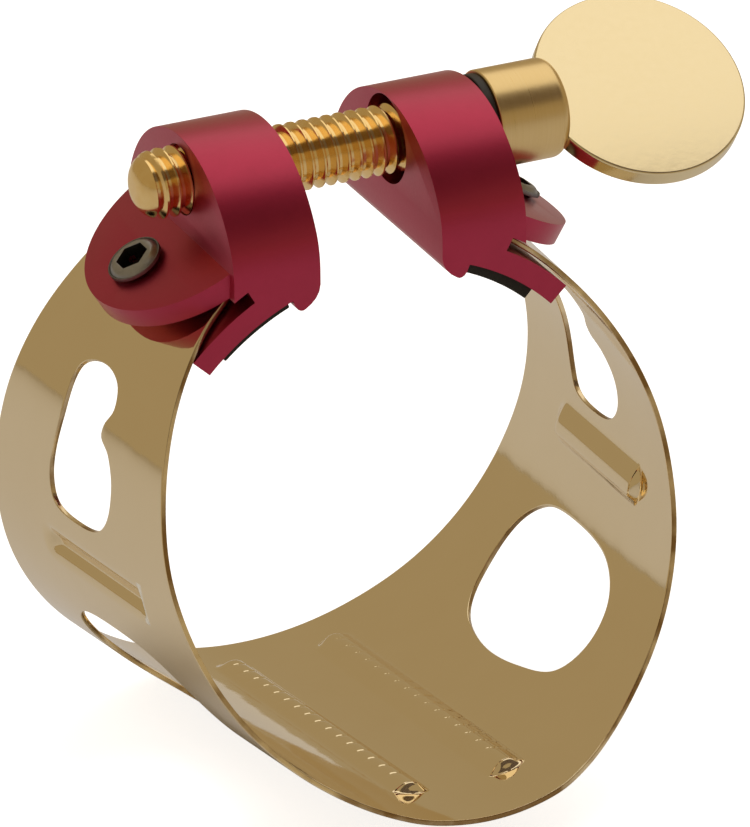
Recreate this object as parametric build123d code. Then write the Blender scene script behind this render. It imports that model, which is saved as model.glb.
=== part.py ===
from build123d import *
import math
import os

# Saxophone ligature: a tapered spring band of gilt brass whose two ends are held in anodised
# clamp blocks, drawn together by one thumb screw. Millimetres. The bore axis is Y and widens
# towards +Y, +Z is up to the clamp blocks, and the origin lies on the bore axis in the plane
# through the thumb screw. The thumb screw runs along X with its coin on the +X side.

os.makedirs("parts", exist_ok=True)

# ---- driving sizes: the band ----
band_radius = 14.25        # inside radius of the band in the plane of the thumb screw
band_taper = 0.077         # growth of the radius per millimetre towards the back
sheet = 0.28               # thickness of the brass sheet
reed_front = 16.9          # how far the band reaches forward under the reed
reed_back = 12.8           # how far it reaches back under the reed
side_front = 9.8           # the same two at the band's widest height
side_back = 8.6
top_front = 4.6            # the same two where the band enters the clamp blocks
top_back = 6.4
reed_half_width = 6.0      # half of the straight stretch of the front edge under the reed
band_end_x = 7.35          # distance of each band end from the middle plane

# ---- driving sizes: ribs pressed into the band ----
rib_radius = 0.95          # outside radius of the pressed rib
rib_height = 0.55          # how far a rib stands into the bore
rail_angle = 11.0          # angle of the two reed rails from straight down
rail_front = 12.6
rail_back = 9.8
side_rib_angle = 79.5      # angle of the two side ribs from straight down
side_rib_front = 6.6
side_rib_back = 4.2

# ---- driving sizes: clamp blocks ----
block_gap = 6.6            # free gap between the two blocks
block_width = 4.6          # along the thumb screw
block_depth = 12.8         # along the bore
block_rise = 4.5           # height of the crown above the top of the band's circle
crown_foot_drop = 0.2      # how far below that circle the rounded crown starts
flange_rise = 1.89         # height above the band at which the flange leaves the block
flange_slope = 31.0        # fall of the flange in degrees
flange_reach = 5.4         # length of the flange down its slope
flange_inset = 0.5         # how far the flange's round end stays inside the block's ends
flange_thick = 1.15
slot_width = 0.72          # slot that takes the band
slot_under = 0.27          # free height in the slot under the band
leg_thick = 1.18           # tongue under the slot
leg_angle = 46.5           # angle from straight up at which the tongue ends
foot_drop = 0.8            # how far the foot of the block stands below the pad's seat
foot_angle = 22.0          # angle from straight up at which the foot ends
foot_round = 0.6

# ---- driving sizes: thumb screw ----
screw_rise = 2.15          # height of its axis above the top of the band's circle
thread_radius = 1.75
thread_tip_x = 10.4        # how far the thread's tip stands out on the -X side
thread_clearance = 0.05
passing_clearance = 0.55   # oversize hole of the block that the screw slides through
washer_radius = 2.40
washer_thick = 0.50
washer_gap = 0.10
hub_radius = 2.55
hub_length = 3.95
hub_round = 0.5
coin_radius = 5.55
coin_thick = 1.0
coin_bite = 0.65           # how deep the coin is let into the hub
coin_turn = 37.5           # turn of the coin about the screw axis from lying flat

# ---- driving sizes: clamp screws and pads ----
clamp_along = 2.75         # distance of the clamp screw down the flange
clamp_shank_radius = 0.80
clamp_length = 3.1
clamp_head_radius = 1.40
clamp_head_height = 0.60
clamp_dome = 0.22
clamp_socket = 1.50        # across flats
clamp_socket_depth = 0.45
clamp_clearance = 0.15
pad_thick = 0.62
pad_start_angle = 22.6
pad_end_angle = 42.0
pad_inset = 0.6            # how far each end of the pad stays inside the block

# ---- sizes that follow ----
taper_angle = math.degrees(math.atan(band_taper))
slot_inner = band_radius - slot_under
slot_outer = slot_inner + slot_width
pad_seat = slot_inner - leg_thick
foot_radius = pad_seat - foot_drop
block_inner_x = block_gap / 2
block_outer_x = block_inner_x + block_width
block_top = band_radius + block_rise
crown_foot = band_radius - crown_foot_drop
screw_height = band_radius + screw_rise
flange_height = math.sqrt(band_radius ** 2 - block_outer_x ** 2) + flange_rise
flange_round = block_depth / 2 - flange_inset
pad_depth = block_depth - 2 * pad_inset
washer_x = block_outer_x + washer_gap
hub_x = washer_x + washer_thick
coin_x = hub_x + hub_length - coin_bite + coin_radius


def around(radius, angle, y=0.0):
    """Point on a circle about the bore axis, its angle taken from straight down towards +X."""
    a = math.radians(angle)
    return (radius * math.sin(a), y, -radius * math.cos(a))


def taper_radius(y):
    """Inside radius of the band at a place along the bore."""
    return band_radius + band_taper * y


def taper_solid(inner, outer):
    """Ring of revolution about the bore, following the taper between two radial offsets."""
    y0 = -reed_front - 4
    y1 = reed_back + 4
    corners = [
        (taper_radius(y0) + inner, y0),
        (taper_radius(y0) + outer, y0),
        (taper_radius(y1) + outer, y1),
        (taper_radius(y1) + inner, y1),
    ]
    return revolve(make_face(Polyline(*corners, close=True)), Axis.Y)


def side_outline():
    """Side view of the rolled band: where its front and back edges run."""
    high = band_radius + 3
    low = -taper_radius(reed_back) - 2
    corner_z = -math.sqrt(taper_radius(-reed_front) ** 2 - reed_half_width ** 2)
    end_z = math.sqrt(band_radius ** 2 - band_end_x ** 2)
    front = Spline(
        (-top_front, end_z),
        (-side_front, 0),
        (-side_front - 0.43 * 8, -8),
        (-reed_front + 0.6, corner_z),
    )
    back = ThreePointArc((top_back, end_z), (side_back, 0), (reed_back, -taper_radius(reed_back)))
    outline = [
        Line((-top_front, high), (-top_front, end_z)),
        front,
        Line(front @ 1, (-reed_front, corner_z - 0.9)),
        Line((-reed_front, corner_z - 0.9), (-reed_front, low)),
        Line((-reed_front, low), (reed_back, low)),
        Line((reed_back, low), back @ 1),
        back,
        Line(back @ 0, (top_back, high)),
        Line((top_back, high), (-top_front, high)),
    ]
    return Plane.YZ * make_face(Wire(outline))


def upper_window():
    """Kidney-shaped window high on the side, as angle and place along the bore."""
    return [
        (88.3, -0.4), (89.6, 2.1), (94.0, 2.6), (107.0, 2.3), (118.5, 2.0), (121.4, -0.1),
        (119.3, -1.75), (115.0, -2.25), (111.2, -1.8), (108.8, -1.85), (106.2, -2.9),
        (101.0, -3.7), (94.5, -3.6), (90.0, -2.6),
    ]


def lower_window():
    """Rounded diamond window low on the side, as angle and place along the bore."""
    return [
        (64.4, -0.4), (62.6, 3.0), (57.0, 4.9), (50.5, 5.45), (41.0, 4.8), (35.2, 3.2),
        (31.9, -0.4), (32.9, -4.0), (37.0, -7.1), (45.0, -7.85), (55.5, -7.2), (62.2, -5.1),
    ]


def window_cutter(points, side):
    """Prism through one side wall, square to the wall at the middle of the window."""
    middle = sum(a for a, _ in points) / len(points)
    plane = Plane(origin=(0, 0, 0), x_dir=(0, 1, 0), z_dir=around(1, side * middle))
    flat = []
    for angle, y in points:
        flat.append((y, side * taper_radius(y) * math.sin(math.radians(middle - angle))))
    outline = Spline(*flat, periodic=True)
    face = make_face(outline)
    return extrude(plane.offset(4) * face, band_radius + 4)


def rib(angle, front, back, radius):
    """Round-ended bar that lies along the wall of the band."""
    centre = rib_radius - rib_height
    start = Vector(*around(taper_radius(-front + rib_radius) + centre, angle, -front + rib_radius))
    end = Vector(*around(taper_radius(back - rib_radius) + centre, angle, back - rib_radius))
    length = (end - start).length
    turn = radius * math.sqrt(0.5)
    half_view = [
        ThreePointArc((0, -radius), (turn, -turn), (radius, 0)),
        Line((radius, 0), (radius, length)),
        ThreePointArc((radius, length), (turn, length + turn), (0, length + radius)),
        Line((0, length + radius), (0, -radius)),
    ]
    outward = Vector(*around(1, angle))
    plane = Plane(origin=start, x_dir=outward, z_dir=outward.cross(end - start))
    axis = Axis(origin=plane.origin, direction=plane.y_dir)
    return revolve(plane * make_face(Wire(half_view)), axis)


def rib_places():
    """Angle, front end and back end of each rib: two reed rails and two side ribs."""
    places = []
    for side in (-1, 1):
        places.append((side * rail_angle, rail_front, rail_back))
        places.append((side * side_rib_angle, side_rib_front, side_rib_back))
    return places


def tilt(shape):
    """Lay a piece of the clamp along the taper, turning it about the thumb screw."""
    return Pos(0, 0, screw_height) * Rot(X=taper_angle) * Pos(0, 0, -screw_height) * shape


def flange_plane(along, side=1):
    """Plane on top of the flange, a distance down its slope, facing away from the band."""
    slope = math.radians(flange_slope)
    origin = (
        side * (block_outer_x + along * math.cos(slope)),
        0,
        flange_height - along * math.sin(slope),
    )
    normal = (side * math.sin(slope), 0, math.cos(slope))
    return Plane(origin=origin, x_dir=(0, 1, 0), z_dir=normal)


def band():
    """Brass sheet cut to outline, pressed with four ribs, pierced and rolled to the taper."""
    sheet_ring = taper_solid(0, sheet)
    inside = taper_solid(-3, sheet * 0.5)
    outline = extrude(side_outline(), 2 * band_radius, both=True)
    body = sheet_ring & outline
    for angle, front, back in rib_places():
        body += rib(angle, front, back, rib_radius) & inside
    for angle, front, back in rib_places():
        body -= rib(angle, front, back, rib_radius - sheet)
    for side in (-1, 1):
        body -= window_cutter(upper_window(), side)
        body -= window_cutter(lower_window(), side)
        hole = flange_plane(clamp_along, side) * Cylinder(clamp_shank_radius + clamp_clearance, 8)
        body -= tilt(hole)
    body -= Pos(0, 0, band_radius) * Box(2 * band_end_x, 60, 2 * band_radius)
    return body


def block_profile():
    """Front view of the clamp block without its flange, inner face to tongue."""
    top = block_top + 1
    tongue_tip = around(pad_seat, 180 - leg_angle)
    tongue_top = around(slot_inner, 180 - leg_angle)
    foot_in = (block_inner_x, math.sqrt(foot_radius ** 2 - block_inner_x ** 2))
    foot_out = around(foot_radius, 180 - foot_angle)
    seat_start = around(pad_seat, 180 - foot_angle)
    seat_middle = around(pad_seat, 180 - (foot_angle + leg_angle) / 2)
    slot_root = math.degrees(math.asin((band_end_x - 0.4) / band_radius))
    root_low = around(slot_inner, 180 - slot_root)
    root_high = around(slot_outer, 180 - slot_root)
    slot_middle = around(slot_inner, 180 - (slot_root + leg_angle) / 2)
    roof_end_x = block_outer_x
    roof_end = (roof_end_x, math.sqrt(slot_outer ** 2 - roof_end_x ** 2))
    roof_angle = math.degrees(math.asin(roof_end_x / slot_outer))
    roof_middle = around(slot_outer, 180 - (slot_root + roof_angle) / 2)

    def xz(point):
        return (point[0], point[2])

    edges = [
        Line((block_inner_x, top), foot_in),
        Line(foot_in, xz(foot_out)),
        Line(xz(foot_out), xz(seat_start)),
        ThreePointArc(xz(seat_start), xz(seat_middle), xz(tongue_tip)),
        Line(xz(tongue_tip), xz(tongue_top)),
        ThreePointArc(xz(tongue_top), xz(slot_middle), xz(root_low)),
        Line(xz(root_low), xz(root_high)),
        ThreePointArc(xz(root_high), xz(roof_middle), roof_end),
        Line(roof_end, (block_outer_x, top)),
        Line((block_outer_x, top), (block_inner_x, top)),
    ]
    return make_face(Wire(edges))


def crown():
    """Side view of a block: upright sides and a round crown."""
    half = block_depth / 2
    edges = [
        Line((-half, 0), (half, 0)),
        Line((half, 0), (half, crown_foot)),
        ThreePointArc((half, crown_foot), (0, block_top), (-half, crown_foot)),
        Line((-half, crown_foot), (-half, 0)),
    ]
    return extrude(Plane.YZ * make_face(Wire(edges)), 30)


def flange():
    """Sloping half-round ear that the clamp screw passes through."""
    root = 1.2
    length = flange_reach + root
    ear = flange_plane(-root) * Pos(0, 0, -flange_thick / 2) * Box(
        block_depth, 2 * length, flange_thick
    )
    round_end = flange_plane(flange_reach - flange_round) * Cylinder(flange_round, 4 * flange_thick)
    keep = Pos(block_inner_x + 0.5 * block_width, 0, 0) * Box(
        40, 40, 60, align=(Align.MIN, Align.CENTER, Align.CENTER)
    )
    return ear & round_end & keep


def block(hole_radius):
    """Right-hand clamp block; the left one is its mirror image."""
    front_view = Plane.XZ * block_profile()
    body = extrude(front_view, block_depth / 2, both=True) & crown()
    foot_edge = body.edges().filter_by(Axis.Y).sort_by(
        lambda e: (e.center() - Vector(block_inner_x, 0, foot_radius)).length
    )[0]
    body = fillet(foot_edge, foot_round)
    body += flange()
    body -= Pos(0, 0, screw_height) * Rot(Y=90) * Cylinder(hole_radius, 60)
    screw_hole = clamp_shank_radius + clamp_clearance
    body -= flange_plane(clamp_along) * Cylinder(screw_hole, 8)
    return tilt(body)


def pad():
    """Rubber strip glued into the seat under a block."""
    def arc(radius):
        start = around(radius, 180 - pad_start_angle)
        middle = around(radius, 180 - (pad_start_angle + pad_end_angle) / 2)
        end = around(radius, 180 - pad_end_angle)
        return [(p[0], p[2]) for p in (start, middle, end)]

    outer = arc(pad_seat)
    inner = arc(pad_seat - pad_thick)
    edges = [
        ThreePointArc(*outer),
        Line(outer[2], inner[2]),
        ThreePointArc(*reversed(inner)),
        Line(inner[0], outer[0]),
    ]
    strip = extrude(Plane.XZ * make_face(Wire(edges)), pad_depth / 2, both=True)
    return tilt(strip)


def clamp_screw():
    """Small socket screw through the flange and the band into the tongue."""
    head = Cylinder(
        clamp_head_radius, clamp_head_height, align=(Align.CENTER, Align.CENTER, Align.MIN)
    )
    head = fillet(head.edges().sort_by(Axis.Z)[-1], clamp_dome)
    shank = Cylinder(
        clamp_shank_radius, clamp_length, align=(Align.CENTER, Align.CENTER, Align.MAX)
    )
    socket = extrude(RegularPolygon(clamp_socket / 2, 6, major_radius=False), clamp_socket_depth)
    screw = head + shank - Pos(0, 0, clamp_head_height - clamp_socket_depth) * socket
    return tilt(flange_plane(clamp_along) * screw)


def on_screw_axis(shape):
    """Turn a piece built along Z so that it lies along the thumb screw, pointing to +X."""
    return Pos(0, 0, screw_height) * Rot(Y=90) * shape


def spindle():
    """Threaded rod of the thumb screw, with a domed tip."""
    end_x = hub_x + hub_length - 2 * coin_bite
    length = end_x + thread_tip_x
    rod = Cylinder(thread_radius, length, align=(Align.CENTER, Align.CENTER, Align.MIN))
    rod = fillet(rod.edges().sort_by(Axis.Z)[0], 0.6 * thread_radius)
    return Pos(-thread_tip_x, 0, 0) * on_screw_axis(rod)


def coin():
    """Round finger plate that stands in the end of the hub."""
    plate = Cylinder(coin_radius, coin_thick)
    plate = fillet(plate.edges().filter_by(GeomType.CIRCLE), 0.12)
    return Pos(coin_x, 0, screw_height) * Rot(X=coin_turn) * plate


def hub():
    """Collar that bears on the washer and carries the coin."""
    collar = Cylinder(hub_radius, hub_length, align=(Align.CENTER, Align.CENTER, Align.MIN))
    collar = fillet(collar.edges().sort_by(Axis.Z)[-1], hub_round)
    collar = Pos(hub_x, 0, 0) * on_screw_axis(collar)
    collar -= spindle()
    collar -= Pos(coin_x, 0, screw_height) * Rot(X=coin_turn) * Cylinder(coin_radius, coin_thick)
    return collar


def washer():
    """Thin black washer between the hub and the block that the screw slides through."""
    ring = Cylinder(washer_radius, washer_thick, align=(Align.CENTER, Align.CENTER, Align.MIN))
    ring -= Cylinder(thread_radius + thread_clearance, 4 * washer_thick)
    return Pos(washer_x, 0, 0) * on_screw_axis(ring)


def mirrored(shape):
    """The left-hand copy of a right-hand piece."""
    return mirror(shape, about=Plane.YZ)


pieces = {
    "spring_band": band(),
    "threaded_block": mirrored(block(thread_radius + thread_clearance)),
    "sliding_block": block(thread_radius + passing_clearance),
    "left_pad": mirrored(pad()),
    "right_pad": pad(),
    "left_clamp_screw": mirrored(clamp_screw()),
    "right_clamp_screw": clamp_screw(),
    "screw_spindle": spindle(),
    "screw_hub": hub(),
    "screw_coin": coin(),
    "thrust_washer": washer(),
}

for name, shape in pieces.items():
    export_step(shape, os.path.join("parts", name + ".step"))
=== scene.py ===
import bpy
import math
import numpy as np
from mathutils import Matrix, Vector
from mathutils.geometry import delaunay_2d_cdt


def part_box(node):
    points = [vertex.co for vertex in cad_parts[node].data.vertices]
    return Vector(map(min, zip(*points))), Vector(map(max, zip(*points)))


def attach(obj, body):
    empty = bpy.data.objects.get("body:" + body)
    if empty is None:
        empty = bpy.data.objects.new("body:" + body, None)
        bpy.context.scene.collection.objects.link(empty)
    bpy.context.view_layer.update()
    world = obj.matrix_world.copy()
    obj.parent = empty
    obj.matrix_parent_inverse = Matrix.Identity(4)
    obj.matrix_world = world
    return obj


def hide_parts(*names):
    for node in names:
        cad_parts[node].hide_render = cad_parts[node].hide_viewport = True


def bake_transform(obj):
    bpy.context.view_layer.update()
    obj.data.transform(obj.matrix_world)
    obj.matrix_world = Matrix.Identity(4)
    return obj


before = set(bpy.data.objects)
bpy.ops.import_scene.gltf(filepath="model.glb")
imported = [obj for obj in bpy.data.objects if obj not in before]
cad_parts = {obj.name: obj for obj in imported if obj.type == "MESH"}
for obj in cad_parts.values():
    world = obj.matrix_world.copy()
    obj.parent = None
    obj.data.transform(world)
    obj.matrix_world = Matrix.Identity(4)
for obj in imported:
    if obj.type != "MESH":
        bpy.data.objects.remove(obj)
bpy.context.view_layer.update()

# ---------------------------------------------------------------- spring_band
# Tapered spring band of the ligature: gold-plated brass sheet, pierced with two windows
# a side, with two serrated reed rails and two side ribs pressed inwards, then rolled up.
# Its ends run into the slots of the clamp blocks.
low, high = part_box("spring_band")
sheet = 0.28
taper = 0.077                                           # growth of the radius towards the back
back_y = high.y * 1000
wall = -low.z * 1000 - sheet - taper * back_y          # inner radius in the screw's plane
end_x = 7.35                                            # where the ends stop, from the middle
end_front, end_back, end_corner = -4.6, 6.4, 0.3        # how deep the ends are
edge_step, window_step = 0.28, 0.22                     # spacing of points along the cuts
per_degree = math.radians(1) * wall

def smooth_run(points, closed, step):
    """Even points along a smooth curve through the given (angle, y) points."""
    p = np.array([(a * per_degree, y) for a, y in points], float)
    n = len(p)
    out = []
    spans = n if closed else n - 1
    for i in range(spans):
        if closed:
            p0, p1, p2, p3 = p[i - 1], p[i], p[(i + 1) % n], p[(i + 2) % n]
        else:
            p1, p2 = p[i], p[i + 1]
            p0 = p[i - 1] if i > 0 else 2 * p1 - p2
            p3 = p[i + 2] if i + 2 < n else 2 * p2 - p1
        t0, t1 = 0.0, np.linalg.norm(p1 - p0) ** 0.5
        t2 = t1 + np.linalg.norm(p2 - p1) ** 0.5
        t3 = t2 + np.linalg.norm(p3 - p2) ** 0.5
        for k in range(20):
            t = t1 + (t2 - t1) * k / 20
            a1 = (t1 - t) / (t1 - t0) * p0 + (t - t0) / (t1 - t0) * p1
            a2 = (t2 - t) / (t2 - t1) * p1 + (t - t1) / (t2 - t1) * p2
            a3 = (t3 - t) / (t3 - t2) * p2 + (t - t2) / (t3 - t2) * p3
            b1 = (t2 - t) / (t2 - t0) * a1 + (t - t0) / (t2 - t0) * a2
            b2 = (t3 - t) / (t3 - t1) * a2 + (t - t1) / (t3 - t1) * a3
            out.append((t2 - t) / (t2 - t1) * b1 + (t - t1) / (t2 - t1) * b2)
    out.append(out[0] if closed else p[-1])
    out = np.array(out)
    along = np.concatenate([[0], np.cumsum(np.linalg.norm(np.diff(out, axis=0), axis=1))])
    count = max(8, int(round(along[-1] / step)))
    at = np.linspace(0, along[-1], count + 1)
    run = np.stack([np.interp(at, along, out[:, 0]), np.interp(at, along, out[:, 1])], 1)
    return run[:-1] if closed else run


front_half = [
    (0, -16.85), (9, -16.78), (17, -16.58), (21.5, -16.25), (27.5, -15.70), (35.4, -14.85),
    (44, -13.95), (53, -13.15), (64, -12.20), (78, -10.95), (90, -9.85), (103, -8.85),
    (113, -7.95), (122, -7.05), (131, -6.15), (140, -5.30), (148, -4.75),
]
back_half = [
    (0, 12.78), (20, 12.45), (40, 11.50), (66, 10.15), (82, 9.15), (94, 8.50), (108, 7.90),
    (121, 7.30), (134, 6.75), (148, 6.45),
]
front_edge = [(-a, y) for a, y in front_half[:0:-1]] + front_half
back_edge = [(-a, y) for a, y in back_half[:0:-1]] + back_half
front_run = smooth_run(front_edge, False, edge_step)
back_run = smooth_run(back_edge, False, edge_step)


def end_angle(y):
    """Where the band's end is cut, as a length on the flat pattern."""
    return (180 - math.degrees(math.asin(end_x / (wall + taper * y)))) * per_degree


right_end = [(end_angle(y), y) for y in np.linspace(end_front, end_back, 40)]
front_run = front_run[np.abs(front_run[:, 0]) < end_angle(end_front) - end_corner]
back_run = back_run[np.abs(back_run[:, 0]) < end_angle(end_back) - end_corner]
outline = np.array(
    list(map(tuple, front_run)) + right_end + list(map(tuple, back_run[::-1]))
    + [(-s, y) for s, y in right_end[::-1]]
)
upper = [
    (88.3, -0.4), (89.6, 2.1), (94.0, 2.6), (107.0, 2.3), (118.5, 2.0), (121.4, -0.1),
    (119.3, -1.75), (115.0, -2.25), (111.2, -1.8), (108.8, -1.85), (106.2, -2.9),
    (101.0, -3.7), (94.5, -3.6), (90.0, -2.6),
]
lower = [
    (64.4, -0.4), (62.6, 3.0), (57.0, 4.9), (50.5, 5.45), (41.0, 4.8), (35.2, 3.2),
    (31.9, -0.4), (32.9, -4.0), (37.0, -7.1), (45.0, -7.85), (55.5, -7.2), (62.2, -5.1),
]
windows = []
for side in (-1, 1):
    for shape in (upper, lower):
        windows.append(smooth_run([(side * a, y) for a, y in shape], True, window_step))

# the four pressed ribs: angle, front end, back end, half width, place of the crest across
# the rib, and whether the press has left chatter marks on it
ribs = [(-10.4, -12.5, 9.6, 1.12, 0.0, True), (12.3, -12.7, 9.8, 1.12, 0.0, True),
        (-79.5, -6.6, 4.2, 1.12, 0.40, False), (81.2, -6.7, 4.3, 1.28, -0.45, False)]
rib_height = 0.55
nose_start, nose_length = 0.42, 0.46                    # the steep front end of a rib
# the chatter marks: distance between two, how much each bows, its depth and width, how far
# it reaches across the rail, and where on the rail the row starts and stops
mark_pitch, mark_bow, mark_depth, mark_width, mark_reach = 1.24, 0.70, 0.045, 0.10, 0.82
mark_front, mark_back, mark_origin = -11.7, 8.9, 20


def mark_side(angle):
    """How far beside the middle of its rail a row of chatter marks stands."""
    return 0.44 if angle > 0 else -0.01


def bell(distance, width):
    """A patch that fades smoothly on both sides of its middle."""
    return np.exp(-(distance / width) ** 2)


def pressed(s, y):
    """How far the sheet stands inwards at places on the flat pattern."""
    total = np.zeros_like(s)
    for angle, front, back, half, crest, marked in ribs:
        across = (s / per_degree - angle) * math.radians(1) * (wall + taper * y)
        beside = np.where(across > crest, (across - crest) / (half - crest),
                          (crest - across) / (half + crest))
        nose = np.maximum(front + nose_start - y, 0) / nose_length
        tail = np.maximum(y - back + half, 0) / half
        away = np.clip(np.hypot(beside, np.maximum(nose, tail)), 0, 1)
        total += rib_height * np.cos(0.5 * np.pi * away ** 1.25) ** 2
        if marked:
            aside = across - mark_side(angle)
            beat = (y + mark_origin - mark_bow * aside ** 2) % mark_pitch - mark_pitch / 2
            reach = np.maximum(1 - (aside / mark_reach) ** 2, 0) * (y > mark_front)
            reach = reach * (y < mark_back) * (np.abs(across) < half)
            total -= mark_depth * bell(beat, mark_width) * reach
    return total


def within(loop, pts):
    """Which points lie inside a closed loop."""
    inside = np.zeros(len(pts), bool)
    x, y = pts[:, 0], pts[:, 1]
    for (x0, y0), (x1, y1) in zip(loop, np.roll(loop, -1, axis=0)):
        if y0 == y1:
            continue
        inside ^= ((y0 > y) != (y1 > y)) & (x < (x1 - x0) * (y - y0) / (y1 - y0) + x0)
    return inside


def clearance(loop, pts):
    """Distance from each point to the nearest point of a loop."""
    out = np.full(len(pts), 1e9)
    for q in loop:
        out = np.minimum(out, np.hypot(pts[:, 0] - q[0], pts[:, 1] - q[1]))
    return out


# points to mesh between the cuts: a plain grid, then fine rows over each rib, which are
# closest over its steep front end and stop short of where those lie
fill = []
grid_step, rounding = 0.5, 0.9
grid_s, grid_y = np.meshgrid(np.arange(-39, 39.01, grid_step), np.arange(-16.75, 12.8, grid_step))
stagger = grid_step / 2 * (np.arange(grid_s.size) // grid_s.shape[1] % 2)
grid = np.stack([grid_s.ravel() + stagger, grid_y.ravel()], 1)
for angle, front, back, half, crest, marked in ribs:
    over = np.maximum(front + rounding - grid[:, 1], grid[:, 1] - back + rounding)
    grid = grid[np.hypot(grid[:, 0] - angle * per_degree, np.maximum(over, 0)) > 1.62]
    row_step = 0.0775 if marked else 0.12
    for y in np.arange(front - 0.62, back + 0.63, row_step):
        for t in np.arange(-1.43, 1.44, 0.13):
            if front - 0.40 < y < front + 0.84 and abs(t) < 1.37:
                continue
            s = angle * per_degree + t * wall / (wall + taper * y)
            over = max(front + rounding - y, y - back + rounding, 0)
            if math.hypot(t, over) < 1.5:
                fill.append((s, y))
    for y in np.arange(front - 0.33, front + 0.75, 0.06):
        for t in np.arange(-1.30, 1.31, 0.065):
            fill.append((angle * per_degree + t * wall / (wall + taper * y), y + 0.01))
edge_clear, window_clear, hem_width = 0.27, 0.25, 0.13
pts = np.concatenate([grid, np.array(fill)])
keep = within(outline, pts) & (clearance(outline, pts) > edge_clear)
for loop in windows:
    keep &= ~within(loop, pts) & (clearance(loop, pts) > window_clear)
pts = pts[keep]
hem = []
for loop, inwards in [(outline, True)] + [(w, False) for w in windows]:
    run = np.roll(loop, -1, axis=0) - np.roll(loop, 1, axis=0)
    across = np.stack([-run[:, 1], run[:, 0]], 1) / np.linalg.norm(run, axis=1)[:, None]
    for direction in (1, -1):
        row = loop + hem_width * direction * across
        hem.append(row[within(loop, row) == inwards])
hem = np.concatenate(hem)
edges = []
corners = []
for loop in [outline] + windows:
    base = len(corners)
    corners += [tuple(p) for p in loop]
    edges += [(base + i, base + (i + 1) % len(loop)) for i in range(len(loop))]
corners += [tuple(p) for p in hem] + [tuple(p) for p in pts]
flat = delaunay_2d_cdt([Vector(c) for c in corners], edges, [], 0, 1e-6)
verts = np.array([tuple(v) for v in flat[0]])
faces = np.array([tuple(f) for f in flat[2] if len(f) == 3])
middle = verts[faces].mean(axis=1)
inside = within(outline, middle)
for loop in windows:
    inside &= ~within(loop, middle)
faces = faces[inside]
angle = verts[:, 0] / per_degree * math.radians(1)
radius = wall + taper * verts[:, 1] - pressed(verts[:, 0], verts[:, 1])
rolled = np.stack([radius * np.sin(angle), verts[:, 1], -radius * np.cos(angle)], 1)
mesh = bpy.data.meshes.new("band")
mesh.from_pydata(rolled.tolist(), [], faces.tolist())
# what the plating needs to know: how far a point is across its rail and along it, and how
# strong the painted reflection and shade are beside the ribs: amber painted where the gold mirrors
# itself and in the creases at their feet. A value below nothing is the nose of a rib: rougher metal
# under a painted highlight
mark_zero = 5.44                                        # what stands for a row's middle
place = np.zeros((len(verts), 3))
painted_reflection_and_nose = np.zeros(len(verts))
y = verts[:, 1]
for angle, front, back, half, crest, marked in ribs:
    across = (verts[:, 0] / per_degree - angle) * math.radians(1) * (wall + taper * y)
    along = np.clip((y - front) / (back - front), 0, 1)
    near = (np.abs(across) < 1.6) & (y > front - 0.4) & (y < back)
    inner = np.clip((y - front + 0.5) / 0.8, 0, 1) * np.clip((back - y) / 0.8, 0, 1)
    if marked:
        beside = across + (mark_zero - mark_side(angle))
        place[near] = np.stack([beside, y + mark_origin, np.ones(len(verts))], 1)[near]
        # painted reflection: an amber flank where the rail's side mirrors the gold beside it
        flank = (np.clip((-0.15 - across) / 0.85, 0, 1) ** 1.2
                 * np.clip((across + 1.2) / 0.12, 0, 1))
        painted_reflection_and_nose += (1.0 if angle > 0 else 0.6) * (1.0 - 0.75 * along) * flank * inner
        # painted shade: a dark-gold line in the crease at the rail's foot
        painted_reflection_and_nose += 0.35 * bell(across - 0.98, 0.14) * inner
    elif angle > 0:
        # painted reflection over the side rib's face, and painted shade along its foot
        painted_reflection_and_nose += (0.30 + 0.35 * (1 - along)) * bell(across - 0.35, 0.62) * inner
        painted_reflection_and_nose += 0.45 * bell(across - 1.22, 0.16) * inner
    # the rib's nose: rougher metal under a painted highlight
    lit_nose = bell(y - front - 0.10, 0.26) * (np.abs(across) < half)
    painted_reflection_and_nose = np.where(lit_nose > 0.3, -lit_nose, painted_reflection_and_nose)
for name, kind, field, values in (("place", "FLOAT_VECTOR", "vector", place),
                                  ("painted_reflection_and_nose", "FLOAT", "value", painted_reflection_and_nose)):
    layer = mesh.attributes.new(name, kind, "POINT")
    layer.data.foreach_set(field, values.astype(np.float32).ravel())


def only(piece):
    """Select one piece alone and make it the active one."""
    bpy.ops.object.select_all(action="DESELECT")
    piece.select_set(True)
    bpy.context.view_layer.objects.active = piece


band = bpy.data.objects.new("band", mesh)
bpy.context.scene.collection.objects.link(band)
only(band)
bpy.ops.object.mode_set(mode="EDIT")
bpy.ops.mesh.select_all(action="SELECT")
bpy.ops.mesh.delete_loose()
bpy.ops.mesh.select_all(action="SELECT")
bpy.ops.mesh.normals_make_consistent(inside=False)
bpy.ops.object.mode_set(mode="OBJECT")
face = band.data.polygons[0]
if Vector((face.center.x, 0, face.center.z)).dot(face.normal) < 0:
    band.data.flip_normals()
gilt = bpy.data.materials.new("gilt_band")
edge_gilt = bpy.data.materials.new("gilt_cut_edge")
band.data.materials.append(gilt)
band.data.materials.append(edge_gilt)
solid = band.modifiers.new("thickness", "SOLIDIFY")
solid.material_offset_rim = 1
solid.thickness = sheet
solid.offset = 1
solid.use_even_offset = False
inner_count = len(band.data.vertices)
bpy.ops.object.modifier_apply(modifier=solid.name)
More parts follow.
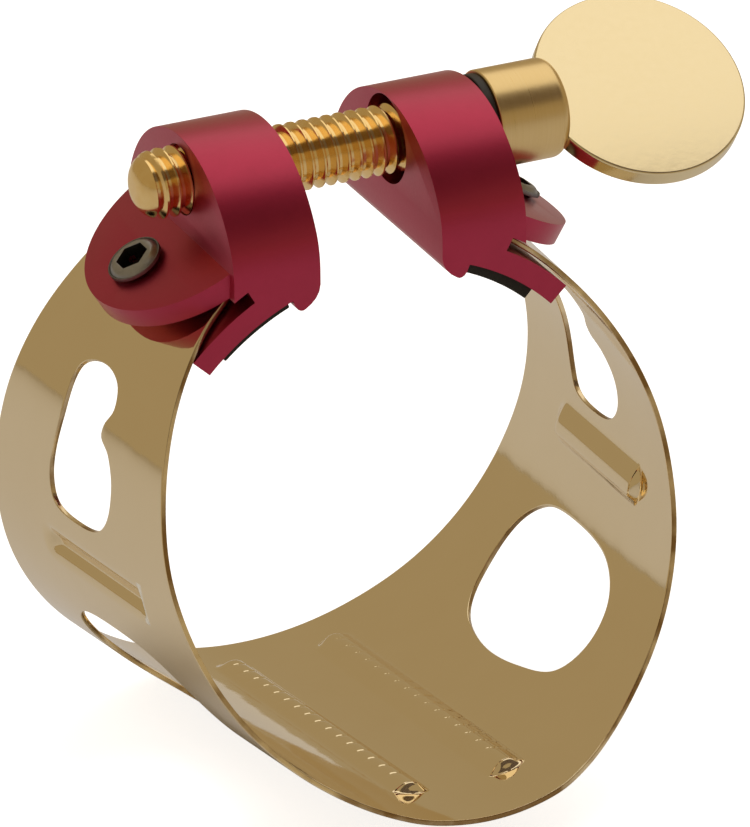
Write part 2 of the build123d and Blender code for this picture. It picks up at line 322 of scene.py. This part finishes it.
# only the inner face carries the painted reflection and shade, the nose highlight and the marks, so
# the outer shell forgets them all
for vertex in range(inner_count, len(band.data.vertices)):
    band.data.attributes["place"].data[vertex].vector = (0, 0, 0)
    band.data.attributes["painted_reflection_and_nose"].data[vertex].value = 0.0
sides = {}
for face in band.data.polygons:
    for key in face.edge_keys:
        sides.setdefault(key, set()).add(face.material_index)
weight = band.data.attributes.new("bevel_weight_edge", "FLOAT", "EDGE")
weight.data.foreach_set("value", [float(len(sides[tuple(sorted(edge.vertices))]) > 1)
                                  for edge in band.data.edges])
rim = band.modifiers.new("rim", "BEVEL")
rim.limit_method = "WEIGHT"
rim.width = 0.055
rim.segments = 3
rim.use_clamp_overlap = False
rim.loop_slide = False
bpy.ops.object.modifier_apply(modifier=rim.name)
bpy.ops.object.shade_smooth_by_angle(angle=math.radians(38))
band.scale = (0.001, 0.001, 0.001)
bpy.ops.object.transform_apply(location=False, rotation=False, scale=True)


def feed(node, name, value):
    """Give a node's input a number, a colour or what another node puts out."""
    if isinstance(value, bpy.types.NodeSocket):
        node.id_data.links.new(value, node.inputs[name])
    elif isinstance(value, tuple):
        node.inputs[name].default_value = (*value, 1)
    else:
        node.inputs[name].default_value = value


def open_look(look):
    """Switch on a material's nodes, for its node tree and its shader."""
    look.use_nodes = True
    return look.node_tree, look.node_tree.nodes["Principled BSDF"]


def noise(tree, scale, detail, vector=None):
    """A cloudy pattern, on the piece's own coordinates unless others are given."""
    if vector is None:
        vector = tree.nodes.new("ShaderNodeTexCoord").outputs["Object"]
    cloud = tree.nodes.new("ShaderNodeTexNoise")
    feed(cloud, "Vector", vector)
    feed(cloud, "Scale", scale)
    feed(cloud, "Detail", detail)
    return cloud.outputs["Fac"]


def mix(tree, pattern, first, second):
    """Two colours blended by a pattern."""
    blended = tree.nodes.new("ShaderNodeMix")
    blended.data_type = "RGBA"
    feed(blended, 0, pattern)
    feed(blended, 6, first)
    feed(blended, 7, second)
    return blended.outputs[2]


def spread(tree, pattern, least, most, start=0.0, stop=1.0):
    """A pattern's values from start to stop, brought to between least and most."""
    span = tree.nodes.new("ShaderNodeMapRange")
    for name, value in (("Value", pattern), ("From Min", start), ("From Max", stop),
                        ("To Min", least), ("To Max", most)):
        feed(span, name, value)
    return span.outputs["Result"]


def relief(tree, pattern, strength, distance, under=None):
    """Small bumps where a pattern is high, on top of other bumps if they are given."""
    bump = tree.nodes.new("ShaderNodeBump")
    feed(bump, "Height", pattern)
    feed(bump, "Strength", strength)
    feed(bump, "Distance", distance)
    if under is not None:
        feed(bump, "Normal", under)
    return bump.outputs["Normal"]


def sum_node(operation, first, second=0):
    """One step of arithmetic in the material that is being made."""
    step = tree.nodes.new("ShaderNodeMath")
    step.operation = operation
    feed(step, 0, first)
    feed(step, 1, second)
    return step.outputs["Value"]


# polished plating: a faint cloud of tint, the amber painted reflection and shade beside the ribs,
# painted highlights on the rails' chatter marks and the ribs' noses, and three sizes of relief
tree, metal = open_look(gilt)
feed(metal, "Metallic", 1.0)
tint = mix(tree, noise(tree, 260, 3), (0.86, 0.72, 0.47), (0.89, 0.755, 0.51))
painted_reflection_input = tree.nodes.new("ShaderNodeAttribute")
painted_reflection_input.attribute_name = "painted_reflection_and_nose"
depth = sum_node("MULTIPLY", painted_reflection_input.outputs["Fac"], spread(tree, noise(tree, 900, 3), 0.75, 1.55))
depth.node.use_clamp = True
# the amber mixed in here is painted reflection and shade
tint_with_painted_reflection = mix(tree, depth, tint, (0.82, 0.42, 0.08))
rail = tree.nodes.new("ShaderNodeAttribute")
rail.attribute_name = "place"
split = tree.nodes.new("ShaderNodeSeparateXYZ")
feed(split, "Vector", rail.outputs["Vector"])
stroke_half, stroke_gain = 0.125, 2.2                   # half width, and how hard its edge is
# each chatter mark is drawn as a bright stroke: a painted glint, which also drives its bump
side_step = sum_node("SUBTRACT", split.outputs["X"], mark_zero)
bow = sum_node("MULTIPLY", sum_node("MULTIPLY", side_step, side_step), mark_bow)
beat = sum_node("MODULO", sum_node("SUBTRACT", split.outputs["Y"], bow), mark_pitch)
beyond = sum_node("ABSOLUTE", sum_node("SUBTRACT", beat, mark_pitch / 2))
core = sum_node("SUBTRACT", 1.0, sum_node("DIVIDE", beyond, stroke_half))
stroke = sum_node("MULTIPLY", sum_node("MAXIMUM", core), stroke_gain)
stroke = sum_node("MINIMUM", stroke, 1.0)
reach = sum_node("DIVIDE", sum_node("ABSOLUTE", side_step), mark_reach)
fade = sum_node("MAXIMUM", sum_node("SUBTRACT", 1.0, sum_node("MULTIPLY", reach, reach)))
row_start = sum_node("GREATER_THAN", split.outputs["Y"], mark_front + mark_origin)
row_stop = sum_node("LESS_THAN", split.outputs["Y"], mark_back + mark_origin)
row = sum_node("MULTIPLY", sum_node("MULTIPLY", row_start, row_stop), split.outputs["Z"])
marks_and_glints = sum_node("MULTIPLY", sum_node("MULTIPLY", stroke, fade), row)
# the ribs' noses: rougher, and whitened as a painted highlight
rough_lit_nose = sum_node("MAXIMUM", sum_node("MULTIPLY", painted_reflection_input.outputs["Fac"], -1.0))
# the chatter marks and the ribs' noses are whitened here: painted highlights
feed(metal, "Base Color",
     mix(tree, sum_node("MAXIMUM", marks_and_glints, rough_lit_nose), tint_with_painted_reflection, (1.0, 1.0, 0.92)))
grain = noise(tree, 5200, 4)
feed(metal, "Roughness",
     sum_node("ADD", spread(tree, grain, 0.035, 0.075), sum_node("MULTIPLY", rough_lit_nose, 0.30)))
ripple = relief(tree, noise(tree, 170, 2), 0.5, 0.00008)
pores = relief(tree, grain, 0.10, 0.00001, ripple)
feed(metal, "Normal", relief(tree, marks_and_glints, 0.6, 0.00004, pores))

# sheared edge: duller, with stretches of painted highlight and dark streaks of painted shade along
# it
tree, metal = open_look(edge_gilt)
feed(metal, "Metallic", 1.0)
feed(metal, "Roughness", 0.22)
edge_highlight_and_shade = spread(tree, noise(tree, 330, 4), 0.0, 1.0, 0.40, 0.64)
feed(metal, "Base Color", mix(tree, edge_highlight_and_shade, (0.33, 0.20, 0.08), (1.0, 0.84, 0.55)))
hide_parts("spring_band")
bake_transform(band)

# ---------------------------------------------------------------- clamp blocks
# Two clamp blocks of red anodised aluminium, milled from bar: a round crown bored for the
# thumb screw, a sloping half-round ear for the clamp screw, and a tongue under the slot
# that takes the band. The left one is threaded; the right one slides on the screw.
screw_low, screw_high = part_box("screw_spindle")
axis_z = (screw_low.z + screw_high.z) * 500
block_wide, half_depth, crown_top = 4.6, 6.4, 19.75
seat, slot_low, slot_high = 12.80, 13.98, 14.70         # radii of the pad's seat and the slot
foot, tongue_angle, foot_angle, slot_angle = 12.00, 46.5, 22.0, 29.2
crown_r, crown_z, crown_foot = 6.707, 12.043, 14.05
slope = math.radians(31.0)                              # of the ear and its clamp screw
ear_along, ear_r, ear_thick, ear_z = -0.5, 5.9, 1.15, 13.75
screw_out = 2.75                                        # clamp screw, down the ear's slope


def face_outwards(merge=None):
    """Turn the active piece's faces outwards, after merging its doubles if asked."""
    bpy.ops.object.mode_set(mode="EDIT")
    bpy.ops.mesh.select_all(action="SELECT")
    if merge:
        bpy.ops.mesh.remove_doubles(threshold=merge)
    bpy.ops.mesh.normals_make_consistent(inside=False)
    bpy.ops.object.mode_set(mode="OBJECT")


def settle():
    """Put the selected pieces' place, turn and size into their meshes."""
    bpy.ops.object.transform_apply(location=True, rotation=True, scale=True)


def drawn(outline, travel):
    """A bar drawn from a closed outline of (x, y, z) points."""
    bpy.ops.mesh.primitive_circle_add(vertices=len(outline), fill_type="NGON")
    bar = bpy.context.object
    for vertex, place in zip(bar.data.vertices, outline):
        vertex.co = place
    bpy.ops.object.mode_set(mode="EDIT")
    bpy.ops.mesh.select_all(action="SELECT")
    bpy.ops.mesh.extrude_region_move(TRANSFORM_OT_translate={"value": travel})
    bpy.ops.mesh.select_all(action="SELECT")
    bpy.ops.mesh.normals_make_consistent(inside=False)
    bpy.ops.object.mode_set(mode="OBJECT")
    return bar


def join(piece, tool, how):
    """Unite, intersect or cut one piece with another."""
    only(piece)
    cut = piece.modifiers.new("cut", "BOOLEAN")
    cut.operation = how
    cut.solver = "EXACT"
    cut.object = tool
    bpy.ops.object.modifier_apply(modifier=cut.name)


def soften(piece, width, segments, above):
    """Round the active piece's edges that turn by more than an angle."""
    soft = piece.modifiers.new("edges", "BEVEL")
    soft.limit_method = "ANGLE"
    soft.angle_limit = math.radians(above)
    soft.width = width
    soft.segments = segments
    bpy.ops.object.modifier_apply(modifier=soft.name)


def leaned(side):
    """From the frame of an upright right-hand block, in millimetres, to its real place."""
    lean = (Matrix.Translation((0, 0, axis_z)) @ Matrix.Rotation(math.atan(taper), 4, "X")
            @ Matrix.Translation((0, 0, -axis_z)))
    return Matrix.Scale(0.001, 4) @ Matrix.Diagonal((side, 1, 1, 1)) @ lean


for side, node, body, bore in ((-1, "threaded_block", "band_body", 1.80),
                               (1, "sliding_block", "swing_side", 2.30)):
    low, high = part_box(node)
    inner_x = min(abs(low.x), abs(high.x)) * 1000
    outer_x = inner_x + block_wide
    profile = [(inner_x, crown_top)]
    for x, up in ((0.0, 0.95), (0.07, 0.60), (0.24, 0.33), (0.50, 0.14), (0.82, 0.03)):
        profile.append((inner_x + x, math.sqrt(foot ** 2 - (inner_x + x) ** 2) + up))
    for r, turn in ((foot + 0.02, 20.6), (foot + 0.08, 21.2), (foot + 0.20, 21.7),
                    (foot + 0.42, foot_angle)):
        profile.append((r * math.sin(math.radians(turn)), r * math.cos(math.radians(turn))))
    for r, first, last in ((seat, foot_angle, tongue_angle), (slot_low, tongue_angle, slot_angle),
                           (slot_high, slot_angle, math.degrees(math.asin(outer_x / slot_high)))):
        for k in range(25):
            turn = math.radians(first + (last - first) * k / 24)
            profile.append((r * math.sin(turn), r * math.cos(turn)))
    profile.append((outer_x, crown_top))
    block = drawn([(x, -half_depth, z) for x, z in profile], (0, 2 * half_depth, 0))
    block.name = node + "_look"

    # the crown's round top flows into the block's straight sides
    sweep = math.acos((crown_foot - crown_z) / crown_r) - math.radians(7.0)
    top_y, top_z = crown_r * math.sin(sweep), crown_z + crown_r * math.cos(sweep)
    low_z = crown_foot - 0.85
    flow = []
    for k in range(1, 10):
        t = k / 10
        flow.append(((1 - t) ** 2 * half_depth + 2 * t * (1 - t) * half_depth + t * t * top_y,
                     (1 - t) ** 2 * low_z + 2 * t * (1 - t) * crown_foot + t * t * top_z))
    arch = [(-half_depth, 5.0), (half_depth, 5.0), (half_depth, low_z)] + flow
    for k in range(0, 65):
        turn = sweep - 2 * sweep * k / 64
        arch.append((crown_r * math.sin(turn), crown_z + crown_r * math.cos(turn)))
    arch += [(-y, z) for y, z in flow[::-1]] + [(-half_depth, low_z)]
    form = drawn([(0, y, z) for y, z in arch], (20, 0, 0))

    bpy.ops.mesh.primitive_cylinder_add(
        vertices=144, radius=ear_r, depth=ear_thick, rotation=(0, slope, 0),
        location=(outer_x + ear_along * math.cos(slope) - ear_thick / 2 * math.sin(slope), 0,
                  ear_z - ear_along * math.sin(slope) - ear_thick / 2 * math.cos(slope)))
    ear = bpy.context.object
    bpy.ops.mesh.primitive_cube_add(size=1, location=(inner_x + 2.3 + 10, 0, 12))
    beyond = bpy.context.object
    beyond.scale = (20, 20, 20)
    screw_at = (outer_x + screw_out * math.cos(slope), 0, ear_z - screw_out * math.sin(slope))
    bpy.ops.mesh.primitive_cylinder_add(vertices=48, radius=0.95, depth=8,
                                        rotation=(0, slope, 0), location=screw_at)
    screw_hole = bpy.context.object
    bpy.ops.mesh.primitive_cylinder_add(vertices=96, radius=bore, depth=30,
                                        rotation=(0, math.pi / 2, 0), location=(8, 0, axis_z))
    screw_bore = bpy.context.object
    bpy.ops.object.select_all(action="DESELECT")
    for tool in (form, ear, beyond, screw_hole, screw_bore):
        tool.select_set(True)
    bpy.context.view_layer.objects.active = ear
    settle()
    for target, tool, how in ((ear, beyond, "INTERSECT"), (block, form, "INTERSECT"),
                              (block, ear, "UNION"), (block, screw_hole, "DIFFERENCE"),
                              (block, screw_bore, "DIFFERENCE")):
        join(target, tool, how)
    for tool in (form, ear, beyond, screw_hole, screw_bore):
        bpy.data.objects.remove(tool)
    bpy.ops.object.mode_set(mode="EDIT")
    bpy.ops.mesh.select_all(action="SELECT")
    bpy.ops.mesh.remove_doubles(threshold=0.004)
    bpy.ops.mesh.dissolve_limited(angle_limit=math.radians(0.4))
    bpy.ops.object.mode_set(mode="OBJECT")
    soften(block, 0.11, 5, 28)
    block.matrix_world = leaned(side)
    settle()
    if side < 0:
        block.data.flip_normals()
    face_outwards()
    bpy.ops.object.shade_smooth_by_angle(angle=math.radians(16.5))

    dyed = bpy.data.materials.new("anodised_" + node)
    tree, metal = open_look(dyed)
    blast = noise(tree, 5200, 5)
    feed(metal, "Metallic", 1.0)
    feed(metal, "Coat Weight", 0.5)
    feed(metal, "Coat Roughness", 0.30)
    feed(metal, "Coat IOR", 1.6)
    feed(metal, "Base Color",
         mix(tree, noise(tree, 420, 4), (0.44, 0.017, 0.066), (0.51, 0.023, 0.082)))
    feed(metal, "Roughness", spread(tree, blast, 0.34, 0.46))
    feed(metal, "Normal", relief(tree, blast, 0.25, 0.00002))
    block.data.materials.append(dyed)
    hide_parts(node)
    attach(block, body)

# ---------------------------------------------------------------- clamp screws
# Small socket screws of blackened steel, driven down through each ear, the band's end and
# the tongue below: a low head with a bevelled rim and a hexagonal socket, on a plain shank.
head_r, head_high, shank_r, hex_across = 1.40, 0.60, 0.80, 0.76
for side, node, body in ((-1, "left_clamp_screw", "band_body"),
                         (1, "right_clamp_screw", "swing_side")):
    bpy.ops.mesh.primitive_cylinder_add(vertices=72, radius=head_r, depth=head_high,
                                        location=(0, 0, head_high / 2))
    head = bpy.context.object
    head.name = node + "_look"
    settle()
    for face in head.data.polygons:
        face.select = face.normal.z > 0.9
    bpy.ops.object.mode_set(mode="EDIT")
    bpy.ops.mesh.select_mode(type="FACE")
    bpy.ops.mesh.bevel(offset=0.42, segments=5, profile=0.42, affect="EDGES")
    bpy.ops.mesh.select_mode(type="VERT")
    bpy.ops.object.mode_set(mode="OBJECT")
    bpy.ops.mesh.primitive_cylinder_add(vertices=6, radius=hex_across / math.cos(math.pi / 6),
                                        depth=1.40, location=(0, 0, 0.40))
    hexagon = bpy.context.object
    bpy.ops.mesh.primitive_cylinder_add(vertices=48, radius=shank_r, depth=3.2,
                                        location=(0, 0, -1.5))
    shank = bpy.context.object
    for tool, how in ((shank, "UNION"), (hexagon, "DIFFERENCE")):
        join(head, tool, how)
        bpy.data.objects.remove(tool)
    soften(head, 0.06, 3, 35)
    socket_faces = [-0.5 < f.center.z < 0.50 and math.hypot(f.center.x, f.center.y) < 0.9
                    for f in head.data.polygons]
    screw_at = (outer_x + screw_out * math.cos(slope), 0, ear_z - screw_out * math.sin(slope))
    head.matrix_world = leaned(side) @ Matrix.Translation(screw_at) @ Matrix.Rotation(slope, 4, "Y")
    settle()
    face_outwards()
    bpy.ops.object.shade_smooth_by_angle(angle=math.radians(30))

    steel = bpy.data.materials.new("steel_" + node)
    tree, metal = open_look(steel)
    grain = noise(tree, 4000, 5)
    feed(metal, "Metallic", 1.0)
    feed(metal, "Base Color", mix(tree, grain, (0.27, 0.27, 0.28), (0.42, 0.42, 0.42)))
    feed(metal, "Roughness", 0.38)
    feed(metal, "Normal", relief(tree, grain, 0.3, 0.00002))
    head.data.materials.append(steel)
    # the socket's faces are painted near-black: painted shade in the recess
    socket_shade = bpy.data.materials.new("socket_" + node)
    tree, metal = open_look(socket_shade)
    feed(metal, "Metallic", 0.7)
    feed(metal, "Base Color",
         mix(tree, noise(tree, 3000, 2), (0.008, 0.008, 0.008), (0.050, 0.046, 0.042)))
    feed(metal, "Roughness", 0.5)
    head.data.materials.append(socket_shade)
    for face, shaded in zip(head.data.polygons, socket_faces):
        face.material_index = 1 if shaded else 0
    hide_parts(node)
    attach(head, body)

# ---------------------------------------------------------------- pads
# Black rubber strips glued into the curved seats under the blocks, where the clamp would
# otherwise press metal on the mouthpiece. They are cut square from sheet.
pad_low, pad_half, pad_start, pad_sweep = 12.18, 5.8, 22.6, 19.4
for side, node, body in ((-1, "left_pad", "band_body"), (1, "right_pad", "swing_side")):
    bpy.ops.mesh.primitive_plane_add(size=1)
    pad = bpy.context.object
    pad.name = node + "_look"
    for vertex, (r, y) in zip(pad.data.vertices, ((pad_low, -pad_half), (seat, -pad_half),
                                                  (pad_low, pad_half), (seat, pad_half))):
        turn = math.radians(pad_start)
        vertex.co = (r * math.sin(turn), y, r * math.cos(turn))
    bpy.ops.object.mode_set(mode="EDIT")
    bpy.ops.mesh.select_all(action="SELECT")
    bpy.ops.mesh.spin(steps=14, angle=math.radians(-pad_sweep), center=(0, 0, 0), axis=(0, 1, 0))
    bpy.ops.object.mode_set(mode="OBJECT")
    face_outwards(merge=0.001)
    soften(pad, 0.07, 3, 40)
    pad.matrix_world = leaned(side)
    settle()
    face_outwards()
    bpy.ops.object.shade_smooth_by_angle(angle=math.radians(30))

    rubber = bpy.data.materials.new("rubber_" + node)
    tree, skin = open_look(rubber)
    grain = noise(tree, 3000, 6)
    feed(skin, "Base Color", mix(tree, grain, (0.012, 0.012, 0.010), (0.030, 0.029, 0.024)))
    feed(skin, "Roughness", 0.8)
    feed(skin, "Normal", relief(tree, grain, 0.6, 0.00004))
    pad.data.materials.append(rubber)
    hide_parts(node)
    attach(pad, body)

# ---------------------------------------------------------------- screw_spindle
# Threaded rod of the thumb screw: gold-plated brass with a full V thread and a domed tip.
# It screws through the left block, slides through the right one and ends in the hub.
low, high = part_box("screw_spindle")
axis_z = (low.z + high.z) * 500
tip_x, stop_x = low.x * 1000, high.x * 1000
length = stop_x - tip_x
crest, root, pitch = (high.z - low.z) * 500, 1.42, 0.65
turns = int(length / pitch) + 4
tooth = [(root, 0.0), (root, 0.07), (crest, 0.285), (crest, 0.365), (root, 0.58), (root, pitch)]
bpy.ops.mesh.primitive_plane_add(size=1)
thread = bpy.context.object
thread.name = "thread"
mesh = bpy.data.meshes.new("tooth")
mesh.from_pydata([(r, 0, z - 1.5 * pitch) for r, z in tooth],
                 [(i, i + 1) for i in range(len(tooth) - 1)], [])
thread.data = mesh
wind = thread.modifiers.new("wind", "SCREW")
wind.screw_offset = pitch
wind.iterations = turns
wind.steps = 96
wind.render_steps = 96
wind.use_merge_vertices = True
wind.merge_threshold = 0.001
bpy.ops.object.modifier_apply(modifier=wind.name)
bpy.ops.object.mode_set(mode="EDIT")
bpy.ops.mesh.select_all(action="SELECT")
bpy.ops.mesh.remove_doubles(threshold=0.001)
bpy.ops.mesh.select_all(action="DESELECT")
bpy.ops.mesh.select_non_manifold(extend=False, use_boundary=True, use_wire=False,
                                 use_multi_face=False, use_non_contiguous=False,
                                 use_verts=False)
bpy.ops.mesh.fill()
bpy.ops.object.mode_set(mode="OBJECT")
face_outwards()
bpy.ops.mesh.primitive_cylinder_add(vertices=96, radius=crest + 0.002, depth=length,
                                    location=(0, 0, length / 2))
rod = bpy.context.object
settle()
bpy.ops.object.mode_set(mode="EDIT")
bpy.ops.mesh.select_all(action="DESELECT")
bpy.ops.object.mode_set(mode="OBJECT")
for edge in rod.data.edges:
    a, b = (rod.data.vertices[i].co for i in edge.vertices)
    edge.select = a.z < 0.01 and b.z < 0.01
bpy.ops.object.mode_set(mode="EDIT")
bpy.ops.mesh.select_mode(type="EDGE")
bpy.ops.mesh.bevel(offset=1.38, segments=14, affect="EDGES")
bpy.ops.mesh.select_mode(type="VERT")
bpy.ops.object.mode_set(mode="OBJECT")
join(thread, rod, "INTERSECT")
bpy.data.objects.remove(rod)
face_outwards(merge=0.002)
thread.matrix_world = (Matrix.Scale(0.001, 4) @ Matrix.Translation((tip_x, 0, axis_z))
                       @ Matrix.Rotation(math.pi / 2, 4, "Y"))
settle()
bpy.ops.object.shade_smooth_by_angle(angle=math.radians(28))

brass = bpy.data.materials.new("gilt_spindle")
tree, metal = open_look(brass)
grain = noise(tree, 2600, 4)
feed(metal, "Metallic", 1.0)
# the warmer tint is partly the plating's own tone, partly painted reflection of the gold in its own
# thread
feed(metal, "Base Color", mix(tree, grain, (0.87, 0.59, 0.22), (0.96, 0.73, 0.36)))
feed(metal, "Roughness", spread(tree, grain, 0.11, 0.22))
feed(metal, "Normal", relief(tree, grain, 0.2, 0.00002))
thread.data.materials.append(brass)
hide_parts("screw_spindle")
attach(thread, "thumb_screw")

# ---------------------------------------------------------------- screw_hub
# Turned collar at the head of the thumb screw: gold-plated brass with a rounded outer rim,
# sawn across to take the coin and pressed on the rod. It bears on the washer.
low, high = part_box("screw_hub")
axis_z = (low.z + high.z) * 500
hub_r, hub_length = (high.y - low.y) * 500, (high.x - low.x) * 1000
coin_low, coin_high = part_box("screw_coin")
coin_x, coin_r = (coin_low.x + coin_high.x) * 500, (coin_high.x - coin_low.x) * 500
coin_tilt = math.radians(37.5)
bpy.ops.mesh.primitive_cylinder_add(vertices=128, radius=hub_r, depth=hub_length,
                                    location=(0, 0, hub_length / 2))
hub = bpy.context.object
hub.name = "hub"
settle()
for offset, at_top in ((0.5, True), (0.09, False)):
    bpy.ops.object.mode_set(mode="EDIT")
    bpy.ops.mesh.select_mode(type="EDGE")
    bpy.ops.mesh.select_all(action="DESELECT")
    bpy.ops.object.mode_set(mode="OBJECT")
    for edge in hub.data.edges:
        ends = [hub.data.vertices[i].co for i in edge.vertices]
        edge.select = all((p.z > hub_length - 0.001) == at_top
                          and (p.z < 0.001) == (not at_top)
                          and math.hypot(p.x, p.y) > hub_r - 0.001 for p in ends)
    bpy.ops.object.mode_set(mode="EDIT")
    bpy.ops.mesh.bevel(offset=offset, segments=8, affect="EDGES")
    bpy.ops.mesh.select_mode(type="VERT")
    bpy.ops.object.mode_set(mode="OBJECT")
hub.matrix_world = (Matrix.Translation((low.x * 1000, 0, axis_z))
                    @ Matrix.Rotation(math.pi / 2, 4, "Y"))
settle()
bpy.ops.mesh.primitive_cylinder_add(vertices=160, radius=coin_r + 0.01, depth=1.02,
                                    rotation=(coin_tilt, 0, 0), location=(coin_x, 0, axis_z))
slit = bpy.context.object
join(hub, slit, "DIFFERENCE")
bpy.data.objects.remove(slit)
hub.matrix_world = Matrix.Scale(0.001, 4)
settle()
bpy.ops.object.shade_smooth_by_angle(angle=math.radians(30))

brass = bpy.data.materials.new("gilt_hub")
tree, metal = open_look(brass)
turned = tree.nodes.new("ShaderNodeMapping")            # draws the grain out round the axis
turned.inputs["Scale"].default_value = (14000, 260, 260)
feed(turned, "Vector", tree.nodes.new("ShaderNodeTexCoord").outputs["Object"])
lines = noise(tree, 1.0, 3, turned.outputs["Vector"])
feed(metal, "Metallic", 1.0)
feed(metal, "Base Color", mix(tree, lines, (0.78, 0.57, 0.26), (0.85, 0.65, 0.33)))
feed(metal, "Roughness", spread(tree, lines, 0.24, 0.36))
feed(metal, "Normal", relief(tree, lines, 0.15, 0.00001))
hub.data.materials.append(brass)
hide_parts("screw_hub")
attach(hub, "thumb_screw")

# ---------------------------------------------------------------- screw_coin
# Round finger plate of the thumb screw, a gold-plated brass disc with softened rims,
# soldered into the saw cut of the hub. Its faces are plain here.
axis_z = (coin_low.z + coin_high.z) * 500
bpy.ops.mesh.primitive_cylinder_add(vertices=192, radius=coin_r, depth=1.0)
coin = bpy.context.object
coin.name = "coin"
bpy.ops.object.mode_set(mode="EDIT")
bpy.ops.mesh.select_mode(type="FACE")
bpy.ops.mesh.select_all(action="DESELECT")
bpy.ops.object.mode_set(mode="OBJECT")
for face in coin.data.polygons:
    face.select = abs(face.normal.z) > 0.9
bpy.ops.object.mode_set(mode="EDIT")
bpy.ops.mesh.bevel(offset=0.14, segments=6, affect="EDGES")
bpy.ops.mesh.select_mode(type="VERT")
bpy.ops.object.mode_set(mode="OBJECT")
coin.matrix_world = (Matrix.Scale(0.001, 4) @ Matrix.Translation((coin_x, 0, axis_z))
                     @ Matrix.Rotation(coin_tilt, 4, "X"))
settle()
bpy.ops.object.shade_smooth_by_angle(angle=math.radians(30))

brass = bpy.data.materials.new("gilt_coin")
tree, metal = open_look(brass)
speck = noise(tree, 2300, 5)
feed(metal, "Metallic", 1.0)
feed(metal, "Base Color", mix(tree, speck, (0.86, 0.73, 0.455), (0.90, 0.775, 0.505)))
feed(metal, "Roughness", spread(tree, speck, 0.14, 0.22))
feed(metal, "Normal", relief(tree, speck, 0.2, 0.00002))
coin.data.materials.append(brass)
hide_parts("screw_coin")
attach(coin, "thumb_screw")

# ---------------------------------------------------------------- thrust_washer
# Thin near-black washer, punched from sheet, loose on the rod between the hub and the
# sliding block. It keeps the hub from scoring the anodising.
low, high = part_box("thrust_washer")
axis_z = (low.z + high.z) * 500
ring_r, ring_thick = (high.y - low.y) * 500, (high.x - low.x) * 1000
hole_r = 1.80
bpy.ops.mesh.primitive_torus_add(major_segments=96, minor_segments=4, major_radius=2.1,
                                 minor_radius=0.3)
ring = bpy.context.object
ring.name = "washer"
for vertex in ring.data.vertices:
    turn = math.atan2(vertex.co.y, vertex.co.x)
    index = vertex.index % 4
    r = ring_r if index in (0, 1) else hole_r
    z = ring_thick / 2 if index in (1, 2) else -ring_thick / 2
    vertex.co = (r * math.cos(turn), r * math.sin(turn), z)
soften(ring, 0.08, 3, 40)
ring.matrix_world = (Matrix.Scale(0.001, 4)
                     @ Matrix.Translation((low.x * 1000 + ring_thick / 2, 0, axis_z))
                     @ Matrix.Rotation(math.pi / 2, 4, "Y"))
settle()
face_outwards()
bpy.ops.object.shade_smooth_by_angle(angle=math.radians(30))

near_black = bpy.data.materials.new("nylon_washer")
tree, skin = open_look(near_black)
grain = noise(tree, 3500, 4)
feed(skin, "Base Color", mix(tree, grain, (0.010, 0.008, 0.008), (0.028, 0.022, 0.020)))
feed(skin, "Roughness", 0.5)
feed(skin, "Normal", relief(tree, grain, 0.3, 0.00002))
ring.data.materials.append(near_black)
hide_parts("thrust_washer")
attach(ring, "thrust_slide")

# ---------------------------------------------------------------- studio
# Pale seamless table, soft lights and the camera. The table's colour and what the camera
# sees of the backdrop make the white ground; the table keeps a faint shadow.
low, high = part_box("spring_band")
bpy.ops.mesh.primitive_plane_add(size=1, location=(0, 0, low.z))
table = bpy.context.object
table.name = "table"
table.scale = (3.0, 3.0, 1.0)
settle()
paper = bpy.data.materials.new("paper")
tree, skin = open_look(paper)
feed(skin, "Base Color", (0.80, 0.82, 0.90))
feed(skin, "Roughness", 0.9)
feed(skin, "Emission Color", (1.0, 1.0, 1.0))
path = tree.nodes.new("ShaderNodeLightPath")
feed(skin, "Emission Strength", sum_node("MULTIPLY", path.outputs["Is Camera Ray"], 0.80))
table.data.materials.append(paper)

world = bpy.data.worlds.new("studio")
bpy.context.scene.world = world
world.use_nodes = True
tree = world.node_tree
sky = tree.nodes["Background"]
feed(sky, "Color", (0.385, 0.305, 0.185))
feed(sky, "Strength", 1.0)
seen = tree.nodes.new("ShaderNodeBackground")
feed(seen, "Color", (1.0, 1.0, 1.0))
feed(seen, "Strength", 1.0)
path = tree.nodes.new("ShaderNodeLightPath")
pick = tree.nodes.new("ShaderNodeMixShader")
feed(pick, 0, path.outputs["Is Camera Ray"])
feed(pick, 1, sky.outputs["Background"])
feed(pick, 2, seen.outputs["Background"])
feed(tree.nodes["World Output"], "Surface", pick.outputs["Shader"])

for name, size, energy, place, mirrored in (
        ("top", (0.62, 0.75), 0.95, (0.29, 0.22, 0.50), True),
        ("fill", (1.2, 1.2), 1.75, (0.0, 0.1, 0.75), False)):
    lamp = bpy.data.lights.new(name, "AREA")
    lamp.shape = "RECTANGLE"
    lamp.size, lamp.size_y = size
    lamp.energy = energy
    light = bpy.data.objects.new(name, lamp)
    bpy.context.scene.collection.objects.link(light)
    light.location = place
    light.visible_glossy = mirrored

bpy.ops.mesh.primitive_plane_add(size=1, location=(0.16, -0.44, 0.50))
card = bpy.context.object
card.name = "card"
card.scale = (0.9, 0.45, 1.0)
card.rotation_euler = (-card.location).to_track_quat("Z", "Y").to_euler()
settle()
grey = bpy.data.materials.new("card")
tree, skin = open_look(grey)
feed(skin, "Base Color", (0.26, 0.22, 0.21))
feed(skin, "Roughness", 0.9)
card.data.materials.append(grey)

lens = bpy.data.cameras.new("camera")
lens.sensor_fit = "VERTICAL"
lens.sensor_height = 24.0
lens.lens = 186.06
lens.clip_start = 0.01
camera = bpy.data.objects.new("camera", lens)
bpy.context.scene.collection.objects.link(camera)
camera.location = (-0.12141, -0.27239, 0.12502)
aim = Vector((0.00204, -0.00006, 0.00191)) - camera.location
camera.rotation_euler = (aim.to_track_quat("-Z", "Y").to_matrix()
                         @ Matrix.Rotation(math.radians(-2.395), 3, "Z")).to_euler()
bpy.context.scene.camera = camera
bpy.context.scene.view_settings.view_transform = "Standard"
